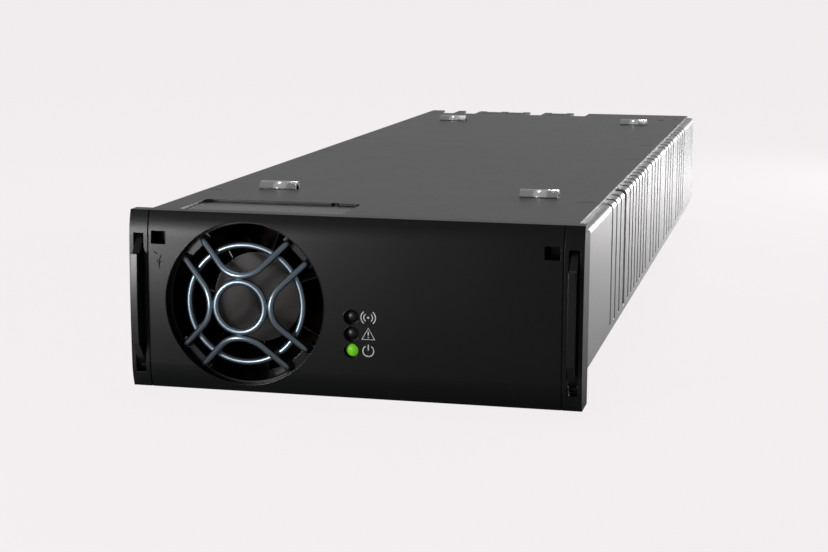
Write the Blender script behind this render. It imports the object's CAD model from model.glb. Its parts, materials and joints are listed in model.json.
# %% [markdown]
# A plug-in converter for a telecom rack: a long sheet-metal case with a black
# moulded front. The metal and plastic solids come ready-made from the CAD
# model. This lesson gives them their finishes, adds the small printed and
# pressed details that CAD leaves out, and sets up light and camera.

# %% Load the fixed frame
import bpy
import json
import math
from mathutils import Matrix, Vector


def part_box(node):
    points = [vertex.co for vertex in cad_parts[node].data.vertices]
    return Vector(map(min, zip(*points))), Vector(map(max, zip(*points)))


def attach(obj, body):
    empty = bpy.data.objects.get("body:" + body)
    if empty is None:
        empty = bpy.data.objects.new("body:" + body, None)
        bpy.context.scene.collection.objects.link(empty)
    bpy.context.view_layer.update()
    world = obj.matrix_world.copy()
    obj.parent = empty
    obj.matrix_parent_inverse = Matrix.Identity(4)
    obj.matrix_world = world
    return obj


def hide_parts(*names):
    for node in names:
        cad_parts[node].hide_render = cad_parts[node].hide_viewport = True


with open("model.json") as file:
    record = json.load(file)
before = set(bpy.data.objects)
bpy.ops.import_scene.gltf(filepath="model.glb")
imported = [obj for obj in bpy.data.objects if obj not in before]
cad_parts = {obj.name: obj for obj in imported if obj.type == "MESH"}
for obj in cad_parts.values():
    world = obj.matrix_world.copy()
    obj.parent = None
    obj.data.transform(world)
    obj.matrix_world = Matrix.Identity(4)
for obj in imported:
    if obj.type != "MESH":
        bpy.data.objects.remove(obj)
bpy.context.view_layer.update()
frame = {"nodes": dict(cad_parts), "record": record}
MM = 0.001

# %% [markdown]
# Finishes are built as node trees. Typing maths as nodes is slow to read, so
# one small class wraps a socket and turns + - * / into Math nodes. The other
# class owns a material and has a single method that adds any kind of node:
# its settings are made first, then its inputs are filled or linked.

# %% Two helpers for writing finishes
class Wire:
    """An output socket that can be used in sums."""

    def __init__(self, finish, socket):
        self.finish, self.socket = finish, socket

    def sum_with(self, operation, first, second):
        return self.finish.node("ShaderNodeMath", {"operation": operation}, {0: first, 1: second})

    def __add__(self, other): return self.sum_with("ADD", self, other)
    def __radd__(self, other): return self.sum_with("ADD", other, self)
    def __sub__(self, other): return self.sum_with("SUBTRACT", self, other)
    def __rsub__(self, other): return self.sum_with("SUBTRACT", other, self)
    def __mul__(self, other): return self.sum_with("MULTIPLY", self, other)
    def __rmul__(self, other): return self.sum_with("MULTIPLY", other, self)
    def __truediv__(self, other): return self.sum_with("DIVIDE", self, other)

    def out(self, name):
        return Wire(self.finish, self.socket.node.outputs[name])


class Finish:
    """A material whose nodes are added one call at a time."""

    def __init__(self, name, **constants):
        self.material = bpy.data.materials.new(name)
        self.material.use_nodes = True
        self.tree = self.material.node_tree
        self.shader = self.tree.nodes["Principled BSDF"]
        self.set(**constants)

    def fill(self, socket, value):
        if isinstance(value, Wire):
            self.tree.links.new(value.socket, socket)
        elif hasattr(value, "__len__") and socket.type == "RGBA" and len(value) == 3:
            socket.default_value = (*value, 1)
        else:
            socket.default_value = value

    def node(self, kind, settings=None, inputs=None):
        made = self.tree.nodes.new(kind)
        for name, value in (settings or {}).items():
            if name == "stops":
                ramp = made.color_ramp.elements
                while len(ramp) < len(value):
                    ramp.new(0.5)
                for stop, (place, level) in zip(ramp, value):
                    stop.position = place
                    stop.color = (*level, 1) if hasattr(level, "__len__") else (level, level, level, 1)
            else:
                setattr(made, name, value)
        for key, value in (inputs or {}).items():
            self.fill(made.inputs[key], value)
        return Wire(self, next(s for s in made.outputs if s.enabled))

    def set(self, **values):
        for name, value in values.items():
            self.fill(self.shader.inputs[name.replace("_", " ")], value)
        return self

    def place(self):
        return self.node("ShaderNodeTexCoord").out("Object")

    def stretched(self, scale):
        return self.node("ShaderNodeMapping", None, {"Vector": self.place(), "Scale": scale})

    def noise(self, size, detail=2.0, where=None, roughness=0.5):
        """Soft random patches about size metres across."""
        return self.node("ShaderNodeTexNoise", None, {"Vector": where or self.place(),
                         "Scale": 1 / size, "Detail": detail, "Roughness": roughness})

    def between(self, mask, low, high):
        """A colour that goes from low to high as the mask goes from 0 to 1."""
        mixed = self.node("ShaderNodeMix", {"data_type": "RGBA"}, {0: mask, 6: (*low, 1), 7: (*high, 1)})
        return mixed.out(2)

    def bump(self, height, strength, depth, under=None):
        inputs = {"Height": height, "Strength": strength, "Distance": depth}
        if under:
            inputs["Normal"] = under
        return self.node("ShaderNodeBump", None, inputs)

    def soft_edges(self, radius):
        return self.node("ShaderNodeBevel", {"samples": 6}, {"Radius": radius})


def shade(colour, factor):
    return tuple(min(1.0, c * factor) for c in colour)


print("helpers ready")

# %% [markdown]
# Moulded plastic is never one flat black. A spark-eroded mould leaves a fine
# grain, handling polishes it in patches, and the edges are slightly round.
# The grain goes into a Bump node, the patches into roughness.

# %% Moulded plastics
def moulded(name, colour, roughness, grain=0.00035, depth=0.00002, level=0.5, edge=0.00015, patch=0.08):
    f = Finish(name, Specular_IOR_Level=level)
    fine = f.noise(grain, 2)
    cloudy = f.noise(0.02, 3)
    f.set(Base_Color=f.between(fine, shade(colour, 0.75), shade(colour, 1.3)))
    f.set(Roughness=roughness - patch / 2 + patch * cloudy)
    f.set(Normal=f.bump(fine, 0.6, depth, f.soft_edges(edge)))
    return f.material


# %% [markdown]
# Rolled sheet shows streaks along its rolling direction, which runs the long
# way of this case, and faint cloudy patches in its zinc. Stretching the
# noise along Y gives the streaks.

# %% Sheet metals
def sheet(name, colour, roughness, streak=0.10, edge=0.0002, metallic=1.0, mottle=0.12):
    f = Finish(name, Metallic=metallic)
    lines = f.noise(0.0006, 3, f.stretched((1, 0.02, 1)))
    clouds = f.noise(0.012, 4)
    mix = (lines + clouds) / 2
    f.set(Base_Color=f.between(mix, shade(colour, 1 - mottle), shade(colour, 1 + mottle)))
    f.set(Roughness=roughness - streak / 2 + streak * mix)
    f.set(Normal=f.bump(lines, 0.25, 0.000008, f.soft_edges(edge)))
    return f.material


# %% [markdown]
# Small hardware, boards and wound parts sit inside the case and show only
# through the slots. They share a few simple recipes.

# %% Hardware, boards, windings and cast parts
def bright(name, colour, roughness=0.28):
    f = Finish(name, Metallic=1.0)
    fine = f.noise(0.0004, 2)
    f.set(Base_Color=f.between(fine, shade(colour, 0.9), shade(colour, 1.08)))
    f.set(Roughness=roughness + 0.1 * (fine - 0.5), Normal=f.soft_edges(0.00012))
    return f.material


def laminate(name, colour):
    """Solder mask over copper tracks: brighter where a track lies under it."""
    f = Finish(name, Roughness=0.3, Coat_Roughness=0.1)
    tracks = f.node("ShaderNodeTexBrick", {"offset": 0.4, "squash": 0.6},
                    {"Vector": f.place(), "Scale": 120, "Mortar Size": 0.03,
                     "Color1": (0, 0, 0, 1), "Color2": (0.1, 0.1, 0.1, 1), "Mortar": (1, 1, 1, 1)})
    f.set(Base_Color=f.between(tracks, colour, shade(colour, 1.9)))
    f.set(Normal=f.bump(tracks, 0.3, 0.00003))
    return f.material


def wound(name, colour):
    """Enamelled wire laid side by side."""
    f = Finish(name, Metallic=0.85)
    turns = f.node("ShaderNodeTexWave", {"bands_direction": "DIAGONAL"},
                   {"Vector": f.place(), "Scale": 220, "Distortion": 1.5, "Detail": 1})
    f.set(Base_Color=f.between(turns, shade(colour, 0.55), shade(colour, 1.15)))
    f.set(Roughness=0.3 + 0.15 * turns, Normal=f.bump(turns, 0.7, 0.0001))
    return f.material


def cast(name, colour, roughness=0.7):
    """Sintered or ceramic parts: matt, with tiny pores."""
    f = Finish(name)
    pores = f.noise(0.0005, 4)
    f.set(Base_Color=f.between(pores, shade(colour, 0.8), shade(colour, 1.15)))
    f.set(Roughness=roughness - 0.1 * pores, Normal=f.bump(pores, 0.4, 0.00003, f.soft_edges(0.0002)))
    return f.material


def lamp(name, colour, glow):
    """The domed end of a light pipe: clear plastic with the lamp behind it."""
    f = Finish(name, Roughness=0.35, Specular_IOR_Level=0.2, Emission_Strength=glow)
    ripple = f.noise(0.0012, 2)
    f.set(Base_Color=f.between(ripple, shade(colour, 0.7), colour))
    if glow:
        f.set(Emission_Color=f.between(ripple, shade(colour, 0.6), colour))
    f.set(Normal=f.bump(ripple, 0.2, 0.00002))
    return f.material


finishes = {
    "bezel_plastic": moulded("bezel_plastic", (0.0030, 0.0033, 0.0033), 0.31, level=0.11),
    "handle_plastic": moulded("handle_plastic", (0.0025, 0.0028, 0.0028), 0.30, level=0.2, edge=0.0003),
    "fan_plastic": moulded("fan_plastic", (0.003, 0.003, 0.003), 0.22,
                           depth=0.000005, level=0.2, edge=0.0003),
    "rotor_plastic": moulded("rotor_plastic", (0.006, 0.004, 0.003), 0.22,
                             depth=0.000006, level=0.25, edge=0.0003),
    "connector_plastic": moulded("connector_plastic", (0.010, 0.010, 0.011), 0.45, depth=0.00001),
    "black_epoxy": moulded("black_epoxy", (0.012, 0.012, 0.014), 0.5),
    "relay_case": moulded("relay_case", (0.72, 0.74, 0.72), 0.45),
    "lamp_chip": moulded("lamp_chip", (0.80, 0.78, 0.60), 0.4),
    "film": moulded("film", (0.75, 0.73, 0.66), 0.35),
    "film_box": moulded("film_box", (0.50, 0.05, 0.03), 0.3),
    "capacitor_sleeve": moulded("capacitor_sleeve", (0.02, 0.025, 0.035), 0.25),
    "toroid_coating": moulded("toroid_coating", (0.05, 0.13, 0.22), 0.5),
    "magnet": moulded("magnet", (0.05, 0.05, 0.052), 0.6),
    "guard_wire": bright("guard_wire", (0.13, 0.165, 0.195), 0.34),
    "cover_sheet": sheet("cover_sheet", (0.060, 0.060, 0.062), 0.42),
    "wall_sheet": sheet("wall_sheet", (0.30, 0.303, 0.307), 0.34),
    "tray_steel": sheet("tray_steel", (0.36, 0.365, 0.37), 0.36),
    "heat_sink": sheet("heat_sink", (0.62, 0.63, 0.64), 0.35),
    "heat_sink_dark": sheet("heat_sink_dark", (0.04, 0.042, 0.045), 0.45, metallic=0.6),
    "bright_steel": bright("bright_steel", (0.62, 0.63, 0.64)),
    "core_steel": bright("core_steel", (0.25, 0.25, 0.26), 0.45),
    "contact_metal": bright("contact_metal", (0.65, 0.38, 0.16), 0.25),
    "circuit_board": laminate("circuit_board", (0.02, 0.13, 0.06)),
    "winding": wound("winding", (0.55, 0.22, 0.08)),
    "winding_tape": moulded("winding_tape", (0.70, 0.45, 0.05), 0.3),
    "ferrite": cast("ferrite", (0.03, 0.031, 0.033)),
    "fuse_body": cast("fuse_body", (0.68, 0.66, 0.60), 0.4),
    "lit_lamp": lamp("lit_lamp", (0.10, 0.36, 0.010), 0.5),
    "dark_lamp": lamp("dark_lamp", (0.004, 0.004, 0.004), 0),
}
slot_of = {entry["node"]: entry["material_slot"] for entry in frame["record"]["subparts"]}
for name, solid in frame["nodes"].items():
    finish = finishes[slot_of[name]]
    if not solid.data.materials:
        solid.data.materials.append(finish)
    for place in solid.material_slots:
        place.material = finish
finishes["print_white"] = moulded("print_white", (0.42, 0.43, 0.43), 0.5)
print("finished", len(frame["nodes"]), "solids with", len(set(slot_of.values())), "finishes")

# %% [markdown]
# Lines and wires are swept: a curve carries the path, and a small node tree
# draws a round section along it. One tree serves every swept piece, because
# its radius and material are inputs. The result is turned into a plain mesh,
# since the finished piece must not depend on a modifier.

# %% One Geometry Nodes tree for everything that is swept
def new_tree(name, inputs):
    tree = bpy.data.node_groups.new(name, "GeometryNodeTree")
    tree.interface.new_socket("Geometry", in_out="INPUT", socket_type="NodeSocketGeometry")
    for label, kind in inputs:
        tree.interface.new_socket(label, in_out="INPUT", socket_type=kind)
    tree.interface.new_socket("Geometry", in_out="OUTPUT", socket_type="NodeSocketGeometry")
    start, end = tree.nodes.new("NodeGroupInput"), tree.nodes.new("NodeGroupOutput")
    return tree, start, end


def add(tree, kind, inputs=None, **settings):
    """Any node, with its settings made and its inputs filled or linked."""
    made = tree.nodes.new(kind)
    for key, value in settings.items():
        setattr(made, key, value)
    for key, value in (inputs or {}).items():
        if isinstance(value, bpy.types.NodeSocket):
            tree.links.new(value, made.inputs[key])
        else:
            made.inputs[key].default_value = value
    return made


def finish_tree(tree, start, end, curves):
    """Sweep the curves, make them real and give them their material."""
    ring = add(tree, "GeometryNodeCurvePrimitiveCircle", {"Resolution": start.outputs["Sides"],
               "Radius": start.outputs["Wire Radius"]})
    swept = add(tree, "GeometryNodeCurveToMesh",
                {"Curve": curves, "Profile Curve": ring.outputs[0], "Fill Caps": True})
    smooth = add(tree, "GeometryNodeSetShadeSmooth", {"Geometry": swept.outputs[0]})
    real = add(tree, "GeometryNodeRealizeInstances", {"Geometry": smooth.outputs[0]})
    painted = add(tree, "GeometryNodeSetMaterial",
                  {"Geometry": real.outputs[0], "Material": start.outputs["Material"]})
    tree.links.new(painted.outputs[0], end.inputs[0])


COMMON = [("Wire Radius", "NodeSocketFloat"), ("Sides", "NodeSocketInt"), ("Material", "NodeSocketMaterial")]
line_tree, line_in, line_out = new_tree("swept_line", COMMON)
finish_tree(line_tree, line_in, line_out, line_in.outputs["Geometry"])


def curve_object(name, strokes):
    """A curve object with one straight-sided spline for each stroke: (points, closed)."""
    data = bpy.data.curves.new(name, "CURVE")
    data.dimensions = "3D"
    for points, closed in strokes:
        spline = data.splines.new("POLY")
        spline.points.add(len(points) - 1)
        for place, p in zip(spline.points, points):
            place.co = (*p, 1)
        spline.use_cyclic_u = closed
    made = bpy.data.objects.new(name, data)
    bpy.context.scene.collection.objects.link(made)
    return made


def grown(source, tree, values):
    """The plain mesh piece that a tree makes from a source object."""
    modifier = source.modifiers.new("grow", "NODES")
    modifier.node_group = tree
    for item in tree.interface.items_tree:
        if item.in_out == "INPUT" and item.name in values:
            modifier[item.identifier] = values[item.name]
    evaluated = source.evaluated_get(bpy.context.evaluated_depsgraph_get())
    mesh = bpy.data.meshes.new_from_object(evaluated)
    piece = bpy.data.objects.new(source.name, mesh)
    mesh.name = source.name
    kept_name = source.name
    bpy.data.objects.remove(source)
    piece.name = kept_name
    bpy.context.scene.collection.objects.link(piece)
    print(kept_name, len(mesh.polygons), "faces")
    return piece


def swept(name, strokes, radius, finish, sides=10):
    return grown(curve_object(name, strokes), line_tree,
                 {"Wire Radius": radius, "Sides": sides, "Material": finishes[finish]})


def wear(piece, body):
    """Say which body a piece moves with and which finish it has."""
    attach(piece, body)


# %% [markdown]
# The wire guard follows a rule: one bent wire, turned four times round the
# fan's axis, on two rings. The wire leans back so that the small hub ring
# stands furthest forward. Drawing one wire and letting the tree turn it keeps
# all four alike. It stands in for the plain CAD guard, with a fuller wire.

# %% Wire guard
FAN_X, FAN_Z = -25.9 * MM, 21.3 * MM
SKIRT = 8 * MM                     # the bezel's depth behind its edge line
EDGE_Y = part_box("bezel")[1][1] - SKIRT
HUB_RING, OUTER_RING, WIRE = 5.98 * MM, 14.05 * MM, 0.80 * MM
HUB_Y, OUTER_Y = EDGE_Y - 4.25 * MM, EDGE_Y + 0.1 * MM
LEAN, LEG_ANGLE = math.radians(28), math.radians(49)
LEG_END = (10.55 * MM, 15.1 * MM)  # sideways and outwards from the fan's axis
HOOK, TAIL = 1.2 * MM, 3 * MM      # size of the end's bend, and its length behind the edge line

apex = HUB_RING + 1.8 * WIRE       # the bend rests on the hub ring
rise = (LEG_END[1] - apex) / math.cos(LEAN)
bend = (LEG_END[0] * math.sin(LEG_ANGLE) - rise * math.cos(LEG_ANGLE)) / (1 - math.cos(LEG_ANGLE))


def leaned(side, up):
    """A point of the flat bent wire, after it leans back."""
    return (side, HUB_Y + up * math.sin(LEAN), apex + up * math.cos(LEAN))


def bent_wire(steps=14, hook=5):
    arc = [(bend * math.sin(a), bend * (1 - math.cos(a)))
           for a in (LEG_ANGLE * i / steps for i in range(steps + 1))]
    half = [leaned(x, z) for x, z in arc]
    corner = Vector(leaned(LEG_END[0], rise))
    leg = (corner - Vector(half[-1])).normalized()
    back = Vector((0, 1, 0))
    for i in range(hook + 1):
        t = i / hook
        a, b = corner - leg * HOOK * (1 - t), corner + back * HOOK * t
        half.append(tuple(a.lerp(b, t)))
    half.append(tuple(corner + back * (EDGE_Y + TAIL - corner.y)))
    return [(-x, y, z) for x, y, z in reversed(half[1:])] + half


guard_tree, g_in, g_out = new_tree("wire_guard", [("Wires", "NodeSocketInt"), ("Centre", "NodeSocketVector"),
    ("Hub Radius", "NodeSocketFloat"), ("Hub Place", "NodeSocketVector"),
    ("Outer Radius", "NodeSocketFloat"), ("Outer Place", "NodeSocketVector")] + COMMON)
spots = add(guard_tree, "GeometryNodeMeshLine", {"Count": g_in.outputs["Wires"],
            "Start Location": g_in.outputs["Centre"], "Offset": (0, 0, 0)})
index = add(guard_tree, "GeometryNodeInputIndex")
turned = add(guard_tree, "ShaderNodeMath", {0: index.outputs[0], 1: math.pi / 2}, operation="MULTIPLY")
angles = add(guard_tree, "ShaderNodeCombineXYZ", {"Y": turned.outputs[0]})
copies = add(guard_tree, "GeometryNodeInstanceOnPoints", {"Points": spots.outputs[0],
             "Instance": g_in.outputs["Geometry"], "Rotation": angles.outputs[0]})
loose = add(guard_tree, "GeometryNodeRealizeInstances", {"Geometry": copies.outputs[0]})
joined = add(guard_tree, "GeometryNodeJoinGeometry")
guard_tree.links.new(loose.outputs[0], joined.inputs[0])
for radius, place in (("Hub Radius", "Hub Place"), ("Outer Radius", "Outer Place")):
    ring = add(guard_tree, "GeometryNodeCurvePrimitiveCircle",
               {"Resolution": 96, "Radius": g_in.outputs[radius]})
    stood = add(guard_tree, "GeometryNodeTransform", {"Geometry": ring.outputs[0],
                "Translation": g_in.outputs[place], "Rotation": (math.pi / 2, 0, 0)})
    guard_tree.links.new(stood.outputs[0], joined.inputs[0])
finish_tree(guard_tree, g_in, g_out, joined.outputs[0])

guard = grown(curve_object("wire_guard", [(bent_wire(), False)]), guard_tree,
              {"Wires": 4, "Centre": (FAN_X, 0, FAN_Z),
               "Hub Radius": HUB_RING, "Hub Place": (FAN_X, HUB_Y, FAN_Z),
               "Outer Radius": OUTER_RING, "Outer Place": (FAN_X, OUTER_Y, FAN_Z),
               "Wire Radius": WIRE, "Sides": 16, "Material": finishes["guard_wire"]})
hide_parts("fan_guard")
wear(guard, "root")

# %% [markdown]
# The front face bows gently and rolls over faster near its top and bottom
# edges. Anything that lies on it needs that curve, so it is written once.

# %% The bowed front face
FACE_H, BOW_R, BOW, ROLL_ZONE, ROLL_R = 42.9, 400.0, 1.5, 6.0, 20.0


def bow_y(off_middle):
    """The gentle arc, in millimetres, at a distance from the middle of the height."""
    return BOW_R - BOW - math.sqrt(BOW_R ** 2 - off_middle ** 2)


def face_y(z):
    """The face's place at height z, both in metres."""
    middle = FACE_H / 2
    h = min(z / MM, FACE_H - z / MM)
    if h >= ROLL_ZONE:
        return EDGE_Y + bow_y(middle - h) * MM
    tilt = (middle - ROLL_ZONE) / BOW_R
    rolled = ROLL_R * math.sqrt(1 - tilt ** 2) - math.sqrt(ROLL_R ** 2 - (h - ROLL_ZONE - ROLL_R * tilt) ** 2)
    return EDGE_Y + (bow_y(middle - ROLL_ZONE) + rolled) * MM


def circle_on_face(x, z, radius, first=0.0, last=360.0, steps=48):
    """A circle or an arc of one that lies on the face: its points, and whether it closes."""
    closed = last - first >= 360
    count = steps if closed else steps + 1
    angles = [math.radians(first + (last - first) * i / steps) for i in range(count)]
    around = [(x + radius * math.cos(a), z + radius * math.sin(a)) for a in angles]
    return [(px, face_y(pz), pz) for px, pz in around], closed


def line_on_face(*corners, closed=False):
    """A bent line on the face, its corners given in millimetres."""
    return [(x * MM, face_y(z * MM), z * MM) for x, z in corners], closed


FLATNESS = 0.12  # what is left of a line's roundness


def flattened(piece, proud):
    """Press a swept line flat on to the face, like print or a low emboss."""
    for v in piece.data.vertices:
        surface = face_y(v.co.z)
        v.co.y = surface - proud + (v.co.y - surface) * FLATNESS
    return piece


print("face bows from", round(face_y(0.0005) - EDGE_Y, 5), "to", round(face_y(0.02145) - EDGE_Y, 5))

# %% [markdown]
# Moulded openings have a tiny rolled edge that catches the light. Thin beads
# round the fan opening and the lamp holes give that glint.

# %% Rolled edges of the openings
OPENING_R, LAMP_HOLE_R, LAMPS = 19.62 * MM, 1.84 * MM, 3
LAMP_X, LAMP_Z, LAMP_PITCH = 0.25 * MM, 11.6 * MM, 4 * MM
rim = swept("opening_rim", [circle_on_face(FAN_X, FAN_Z, OPENING_R, steps=120)],
            0.13 * MM, "fan_plastic", 8)
wear(rim, "root")
lamp_holes = [circle_on_face(LAMP_X, LAMP_Z + i * LAMP_PITCH, LAMP_HOLE_R) for i in range(LAMPS)]
rings = swept("lamp_rims", lamp_holes, 0.09 * MM, "fan_plastic", 8)
wear(rings, "root")

# %% [markdown]
# Beside the lamps are three plain printed signs: radio waves for the link, a
# triangle for an alarm and the usual ring and bar for power. Each is a few
# strokes, swept and then pressed flat.

# %% Printed signs
SIGN_X = 4.4        # in millimetres, like the other places in this cell
INK = 0.012 * MM    # thickness of the print
EMBOSS = 0.06 * MM  # how far the arrow stands proud


def radio_waves():
    z = 19.7
    arcs = [circle_on_face(SIGN_X * MM, z * MM, r * MM, side - 52, side + 52, 14)
            for r in (1.05, 1.75) for side in (0, 180)]
    return arcs + [circle_on_face(SIGN_X * MM, z * MM, 0.14 * MM)]


def alarm_triangle():
    low, high = 14.5, 17.2
    return [line_on_face((SIGN_X - 1.55, low), (SIGN_X + 1.55, low), (SIGN_X, high), closed=True),
            line_on_face((SIGN_X, low + 1.9), (SIGN_X, low + 0.95)),
            circle_on_face(SIGN_X * MM, (low + 0.5) * MM, 0.05 * MM, steps=8)]


def power_sign():
    z = 11.75
    return [circle_on_face(SIGN_X * MM, z * MM, 1.3 * MM, 122, 418, 30),
            line_on_face((SIGN_X, z + 1.55), (SIGN_X, z + 0.1))]


def release_arrow():
    """The small mark under the left release hole: a shaft, a head and a dash."""
    return [line_on_face((-46.4, 32.4), (-46.9, 31.4), (-47.0, 30.2), (-46.9, 29.2)),
            line_on_face((-47.6, 31.2), (-47.0, 30.2), (-46.3, 31.0)),
            line_on_face((-48.3, 33.2), (-47.5, 32.6))]


strokes = radio_waves() + alarm_triangle() + power_sign()
signs = flattened(swept("printed_signs", strokes, 0.15 * MM, "print_white"), INK)
wear(signs, "root")
arrow = flattened(swept("embossed_arrow", release_arrow(), 0.11 * MM, "bezel_plastic"), EMBOSS)
wear(arrow, "root")

# %% [markdown]
# Pressing the four bridges out of the cover stretched and polished the sheet
# there. A thin bright skin lies on each half tube: one arc with a flat
# section, set on four points.

# %% Polished bridges
bridge_tree, b_in, b_out = new_tree("bridge_skins", [("Radius", "NodeSocketFloat"), ("Length", "NodeSocketFloat"),
    ("Thickness", "NodeSocketFloat"), ("Material", "NodeSocketMaterial")])
arch = add(bridge_tree, "GeometryNodeCurveArc", {"Resolution": 24, "Radius": b_in.outputs["Radius"],
           "Start Angle": math.radians(8), "Sweep Angle": math.radians(164)})
flat = add(bridge_tree, "GeometryNodeCurvePrimitiveQuadrilateral", {"Width": b_in.outputs["Thickness"],
           "Height": b_in.outputs["Length"]})
skin = add(bridge_tree, "GeometryNodeCurveToMesh", {"Curve": arch.outputs[0], "Profile Curve": flat.outputs[0],
           "Fill Caps": True})
upright = add(bridge_tree, "GeometryNodeTransform", {"Geometry": skin.outputs[0],
              "Rotation": (math.pi / 2, 0, math.pi / 2)})
set_out = add(bridge_tree, "GeometryNodeInstanceOnPoints",
              {"Points": b_in.outputs[0], "Instance": upright.outputs[0]})
made_real = add(bridge_tree, "GeometryNodeRealizeInstances", {"Geometry": set_out.outputs[0]})
rounded = add(bridge_tree, "GeometryNodeSetShadeSmooth", {"Geometry": made_real.outputs[0]})
skinned = add(bridge_tree, "GeometryNodeSetMaterial", {"Geometry": rounded.outputs[0],
              "Material": b_in.outputs["Material"]})
bridge_tree.links.new(skinned.outputs[0], b_out.inputs[0])
TUBE_Z = 41.8 * MM  # height of the half tubes' axes
BRIDGE_X, BRIDGE_YS = 35 * MM, (56 * MM, 281 * MM)
points = bpy.data.meshes.new("bridge_skins")
points.from_pydata([(x, EDGE_Y + y, TUBE_Z) for x in (-BRIDGE_X, BRIDGE_X) for y in BRIDGE_YS], [], [])
source = bpy.data.objects.new("bridge_skins", points)
bpy.context.scene.collection.objects.link(source)
skins = grown(source, bridge_tree, {"Radius": 2.03 * MM, "Length": 9.98 * MM, "Thickness": 0.04 * MM,
                                    "Material": finishes["bright_steel"]})
wear(skins, "root")

# %% [markdown]
# The camera stands in front, to the right of the middle and a little above,
# and looks slightly down along the case.

# %% Camera
camera_data = bpy.data.cameras.new("camera")
camera_data.lens = 76.56
camera = bpy.data.objects.new("camera", camera_data)
camera.location = (0.10557, -0.55101, 0.09930)
camera.rotation_euler = (math.radians(90 - 9.855), math.radians(-0.28), math.radians(13.14))
bpy.context.scene.collection.objects.link(camera)
bpy.context.scene.camera = camera
print("camera at", tuple(round(v, 3) for v in camera.location))

# %% [markdown]
# Light: a pale world for the background and fill, one small soft panel low on
# the front left whose glow slides over the black face, one behind on the
# right that brightens the side wall towards the rear, and a weak one
# overhead. Seen directly, the world and the floor keep one even pale colour;
# mirrored in the metal, the world is dimmer.

# %% Lights, world and floor
PALE = (0.896, 0.863, 0.871)
FILL = 0.24           # strength of the world as a light
MIRRORED = 0.35       # how much of the pale colour shows in reflections
FLOOR_EVENNESS = 0.95  # the rest shows the floor's own shading and shadow
FLOOR_GLOW = 1.02


def panel(name, at, towards, size, power):
    """A rectangular area light that faces a point."""
    data = bpy.data.lights.new(name, "AREA")
    data.shape, data.size, data.size_y, data.energy = "RECTANGLE", size[0], size[1], power
    lit = bpy.data.objects.new(name, data)
    lit.location = at
    lit.rotation_euler = (Vector(towards) - Vector(at)).to_track_quat("-Z", "Y").to_euler()
    bpy.context.scene.collection.objects.link(lit)
    return lit


panel("panel_left", (-0.20, -0.47, 0.04), (-0.05, -0.161, 0.035), (0.07, 0.07), 1.4)
panel("panel_right_back", (0.25, 0.34, 0.10), (0.055, 0.12, 0.02), (0.15, 0.12), 1.5)
panel("panel_top", (-0.1, 0.1, 0.9), (0, 0, 0), (0.35, 0.35), 2.5)

world = bpy.data.worlds.new("studio")
world.use_nodes = True
bpy.context.scene.world = world
sky = world.node_tree
ray = add(sky, "ShaderNodeLightPath")
mirrored = add(sky, "ShaderNodeMath", {0: ray.outputs["Is Glossy Ray"], 1: MIRRORED}, operation="MULTIPLY")
seen = add(sky, "ShaderNodeMath", {0: ray.outputs["Is Camera Ray"], 1: mirrored.outputs[0]},
           operation="MAXIMUM")
shown = add(sky, "ShaderNodeMath", {0: seen.outputs[0], 1: ray.outputs["Is Transmission Ray"]},
            operation="MAXIMUM")
fill_light = sky.nodes["Background"]
fill_light.inputs["Color"].default_value = (1, 1, 1, 1)
fill_light.inputs["Strength"].default_value = FILL
back_light = add(sky, "ShaderNodeBackground", {"Color": (*PALE, 1), "Strength": 1.0})
choose = add(sky, "ShaderNodeMixShader",
             {0: shown.outputs[0], 1: fill_light.outputs[0], 2: back_light.outputs[0]})
sky.links.new(choose.outputs[0], sky.nodes["World Output"].inputs[0])

bpy.ops.mesh.primitive_plane_add(size=12, location=(0, 0, -0.0005))
floor = bpy.context.object
floor.name = "floor"
ground = Finish("floor", Roughness=0.9, Specular_IOR_Level=0.0, Base_Color=(0.80, 0.775, 0.785))
path = ground.node("ShaderNodeLightPath")
direct = path.out("Is Camera Ray") + path.out("Is Transmission Ray")
glow = ground.node("ShaderNodeEmission", None, {"Color": (*PALE, 1), "Strength": FLOOR_GLOW})
shaded = Wire(ground, ground.shader.outputs[0])
both = ground.node("ShaderNodeMixShader", None, {0: direct * FLOOR_EVENNESS, 1: shaded, 2: glow})
ground.tree.links.new(both.socket, ground.tree.nodes["Material Output"].inputs[0])
floor.data.materials.append(ground.material)
bpy.context.scene.view_settings.view_transform = "Standard"
print("studio ready")
